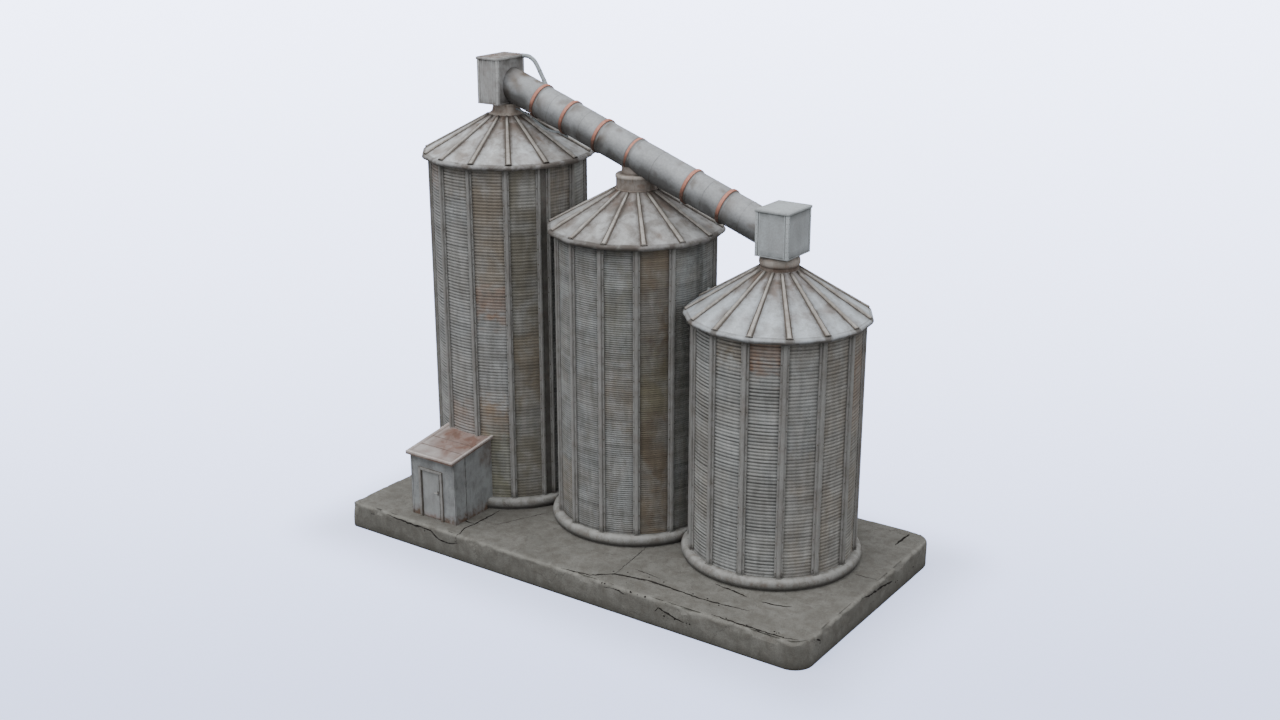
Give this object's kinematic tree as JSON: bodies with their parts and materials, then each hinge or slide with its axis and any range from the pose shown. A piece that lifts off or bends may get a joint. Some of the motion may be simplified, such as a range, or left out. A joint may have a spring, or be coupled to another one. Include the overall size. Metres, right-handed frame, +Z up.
{
  "type": "grain silo plant",
  "caption": "Row of round steel grain silos on one slab, with ribbed cone roofs, a sloping banded conveyor pipe between two head boxes, and a lean-to shed with a door.",
  "frame": {"origin": "middle of the slab's underside, where the plant stands on the ground", "axes": "+Z up, +X along the slab from the tall silo to the short one, -Y the side with the shed and its door"},
  "size_m": [21.6, 10.8, 19.396],
  "materials": {
    "slab_concrete": null,
    "plinth_concrete": "lighter weathered concrete, streaked",
    "wall_steel": "galvanised corrugated steel, dulled and rust stained",
    "roof_steel": "galvanised steel sheet with dirty ribs",
    "spout_steel": "dirty galvanised steel",
    "box_steel": "grey sheet steel, lightly soiled",
    "pipe_steel": "smooth galvanised steel with smudges",
    "band_copper": "copper-coloured metal, dull",
    "shed_panel": "pale grey-blue painted panels, rust at the foot",
    "shed_roof_rust": "grey sheet, rusted red-brown at the back",
    "door_paint": "dark grey paint, worn",
    "handle_steel": "bare steel"
  },
  "bodies": {
    "plant": {"base_slab": "slab_concrete", "tall_plinth": "plinth_concrete", "tall_wall_front": "wall_steel", "tall_wall_right": "wall_steel", "tall_wall_back": "wall_steel", "tall_wall_left": "wall_steel", "tall_roof": "roof_steel", "middle_plinth": "plinth_concrete", "middle_wall_front": "wall_steel", "middle_wall_right": "wall_steel", "middle_wall_back": "wall_steel", "middle_wall_left": "wall_steel", "middle_roof": "roof_steel", "short_plinth": "plinth_concrete", "short_wall_front": "wall_steel", "short_wall_right": "wall_steel", "short_wall_back": "wall_steel", "short_wall_left": "wall_steel", "short_roof": "roof_steel", "tall_neck": "spout_steel", "middle_spout": "spout_steel", "short_collar": "spout_steel", "tall_head_box": "box_steel", "tall_head_lid": "box_steel", "short_head_box": "box_steel", "short_head_lid": "box_steel", "conveyor_pipe": "pipe_steel", "pipe_band_1": "band_copper", "pipe_band_2": "band_copper", "pipe_band_3": "band_copper", "pipe_band_4": "band_copper", "pipe_band_5": "band_copper", "pipe_band_6": "band_copper", "vent_pipe": "pipe_steel", "clamped_conduit": "pipe_steel", "drop_conduit": "pipe_steel", "wall_hood": "box_steel", "shed_wall_left": "shed_panel", "shed_wall_right": "shed_panel", "shed_wall_front_left": "shed_panel", "shed_wall_front_right": "shed_panel", "shed_lintel": "shed_panel", "shed_roof": "shed_roof_rust", "door_jamb_left": "door_paint", "door_jamb_right": "door_paint", "door_head": "door_paint"},
    "shed_door": {"door_leaf": "door_paint", "door_handle": "handle_steel"}
  },
  "joints": [
    {"name": "shed_door_hinge", "type": "hinge", "parent": "plant", "child": "shed_door", "pos_m": [-7.3575, -4.595, 1.1], "axis": [0, 0, 1], "range_deg": [0, 95]}
  ]
}
